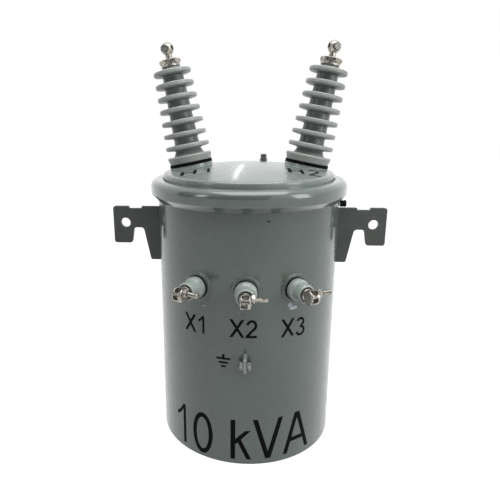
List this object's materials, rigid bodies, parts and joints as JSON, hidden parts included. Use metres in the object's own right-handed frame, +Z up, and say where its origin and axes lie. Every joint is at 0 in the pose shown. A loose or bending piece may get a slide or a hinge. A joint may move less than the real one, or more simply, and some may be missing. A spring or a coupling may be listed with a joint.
{
  "type": "pole mounted transformer",
  "caption": "Round oil tank with a domed clamped lid, two leaning ribbed bushings on top, terminals on the front, lifting lugs at the sides and pole brackets behind.",
  "frame": {"origin": "centre of the underside of the base, on the tank's axis", "axes": "+Z up along the tank, -Y towards the low-voltage terminals, +Y towards the pole, +X to the right seen from the front"},
  "size_m": [0.551, 0.467, 0.7842],
  "materials": {
    "tank_paint": "glossy grey-green enamel",
    "lug_paint": "dull grey-green enamel",
    "black_rubber": "matt",
    "grey_porcelain": "gloss glaze",
    "pale_porcelain": "gloss glaze",
    "tinned_metal": "tinned, slightly tarnished",
    "zinc_steel": "zinc plated",
    "black_plastic": "moulded",
    "inner_steel": "plain"
  },
  "bodies": {
    "root": {"band_bolt": "zinc_steel", "band_ear_left": "tank_paint", "band_ear_right": "tank_paint", "clamp_band": "tank_paint", "core_and_oil": "inner_steel", "cover": "tank_paint", "cover_gasket": "black_rubber", "ground_bolt": "zinc_steel", "ground_lug": "tank_paint", "hanger_bracket_lower": "tank_paint", "hanger_bracket_upper": "tank_paint", "hv_bolt_h1": "tinned_metal", "hv_bolt_h2": "tinned_metal", "hv_cap_h1": "tinned_metal", "hv_cap_h2": "tinned_metal", "hv_gasket_h1": "black_rubber", "hv_gasket_h2": "black_rubber", "hv_porcelain_h1": "grey_porcelain", "hv_porcelain_h2": "grey_porcelain", "hv_terminal_h1": "tinned_metal", "hv_terminal_h2": "tinned_metal", "lifting_lug_left": "lug_paint", "lifting_lug_right": "lug_paint", "lv_bolt_x1": "tinned_metal", "lv_bolt_x2": "tinned_metal", "lv_bolt_x3": "tinned_metal", "lv_boss_x1": "tank_paint", "lv_boss_x2": "tank_paint", "lv_boss_x3": "tank_paint", "lv_gasket_x1": "black_rubber", "lv_gasket_x2": "black_rubber", "lv_gasket_x3": "black_rubber", "lv_porcelain_x1": "pale_porcelain", "lv_porcelain_x2": "pale_porcelain", "lv_porcelain_x3": "pale_porcelain", "lv_terminal_x1": "tinned_metal", "lv_terminal_x2": "tinned_metal", "lv_terminal_x3": "tinned_metal", "relief_cap": "black_plastic", "relief_valve": "zinc_steel", "tank_bottom": "tank_paint", "tank_rim": "tank_paint", "tank_wall": "tank_paint", "vent_plug": "zinc_steel"}
  },
  "joints": []
}
